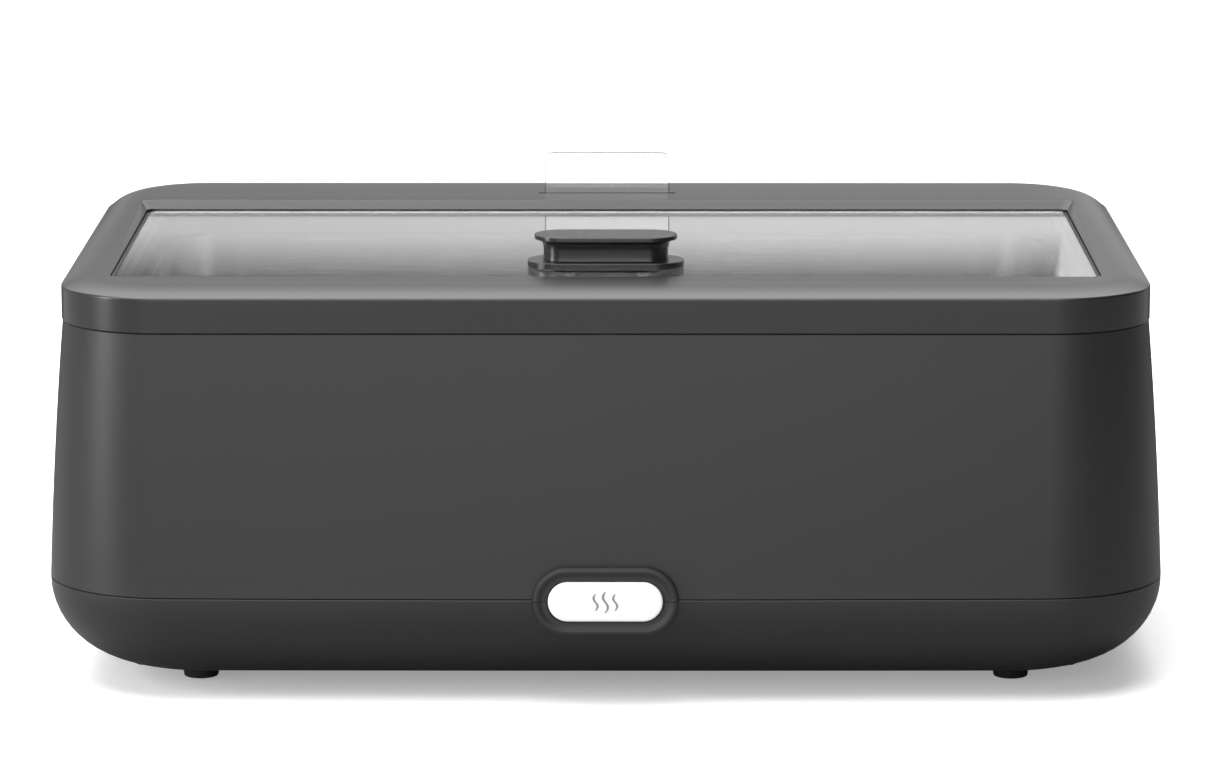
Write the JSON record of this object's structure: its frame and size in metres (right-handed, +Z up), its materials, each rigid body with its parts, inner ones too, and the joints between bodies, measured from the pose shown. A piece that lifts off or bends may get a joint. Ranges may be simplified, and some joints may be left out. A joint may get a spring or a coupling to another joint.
{
  "type": "countertop food warmer",
  "caption": "Heated water-bath food warmer: a moulded casing on feet holds a standard food pan under a hinged lid with a glass window, pinch handle and clear label holder.",
  "frame": {"origin": "on the surface that the feet stand on, under the middle of the casing", "axes": "+Z up, +X along the length to the right as seen from the front, -Y towards the front, where the badge is; the hinges and controls are at +Y"},
  "size_m": [0.603, 0.408, 0.2515],
  "materials": {
    "casing_plastic": "fine moulded grain, matt charcoal black",
    "handle_plastic": "satin black",
    "fitting_plastic": "black, lightly grained",
    "lid_glass": "clear toughened glass",
    "clear_acrylic": "clear polished acrylic",
    "rubber": "matt black rubber",
    "stainless": "brushed stainless steel",
    "aluminium": "plain aluminium sheet",
    "zinc_plated": "zinc-plated steel",
    "badge_white": "white satin plate with a plain heat mark",
    "amber_lens": "amber lens",
    "insulation": "mineral-wool mat",
    "wire_brown": "brown wire insulation",
    "wire_blue": "blue wire insulation",
    "wire_green": "green and yellow wire insulation"
  },
  "bodies": {
    "casing": {"body_shell": "casing_plastic", "base_tray": "casing_plastic", "badge_plate": "badge_white", "food_pan": "stainless", "water_pan": "stainless", "heater_plate": "aluminium", "heating_element": "stainless", "heater_clamp_left": "zinc_plated", "heater_clamp_right": "zinc_plated", "thermal_cutout": "fitting_plastic", "insulation_mat": "insulation", "control_panel": "fitting_plastic", "thermostat_body": "fitting_plastic", "power_switch_housing": "fitting_plastic", "power_inlet": "fitting_plastic", "inlet_pin_live": "zinc_plated", "inlet_pin_neutral": "zinc_plated", "inlet_pin_earth": "zinc_plated", "pilot_lamp": "amber_lens", "hinge_bracket_left": "zinc_plated", "hinge_bracket_right": "zinc_plated", "hinge_pin_left": "stainless", "hinge_pin_right": "stainless", "foot_front_left": "rubber", "foot_front_right": "rubber", "foot_rear_left": "rubber", "foot_rear_right": "rubber", "foot_screw_front_left": "zinc_plated", "foot_screw_front_right": "zinc_plated", "foot_screw_rear_left": "zinc_plated", "foot_screw_rear_right": "zinc_plated", "case_screw_front_left": "zinc_plated", "case_screw_front_right": "zinc_plated", "case_screw_rear_left": "zinc_plated", "case_screw_rear_right": "zinc_plated", "wire_inlet_to_switch": "wire_brown", "wire_switch_to_thermostat": "wire_brown", "wire_thermostat_to_cutout": "wire_brown", "wire_neutral": "wire_blue", "wire_earth": "wire_green"},
    "lid": {"lid_frame": "casing_plastic", "lid_inner_frame": "fitting_plastic", "glass_pane": "lid_glass", "glass_gasket": "rubber", "lid_seal": "rubber", "handle_base": "handle_plastic", "handle_grip": "handle_plastic", "handle_backplate": "stainless", "handle_screw_left": "zinc_plated", "handle_screw_right": "zinc_plated", "hinge_leaf_left": "zinc_plated", "hinge_leaf_right": "zinc_plated"},
    "label": {"label_holder": "clear_acrylic"},
    "knob": {"thermostat_knob": "fitting_plastic", "thermostat_shaft": "zinc_plated"},
    "rocker": {"power_switch_rocker": "fitting_plastic"}
  },
  "joints": [
    {"name": "lid_hinge", "type": "hinge", "parent": "casing", "child": "lid", "pos_m": [0, 0.1962, 0.2005], "axis": [-1, 0, 0], "range_deg": [0, 95]},
    {"name": "label_lift", "type": "slide", "parent": "lid", "child": "label", "axis": [0, 0, 1], "range_m": [0, 0.012]},
    {"name": "thermostat_turn", "type": "hinge", "parent": "casing", "child": "knob", "pos_m": [0.048, 0.199, 0.094], "axis": [0, 1, 0], "range_deg": [0, 270]},
    {"name": "power_switch_rock", "type": "hinge", "parent": "casing", "child": "rocker", "pos_m": [0, 0.1897, 0.094], "axis": [1, 0, 0], "range_deg": [0, 16]}
  ]
}
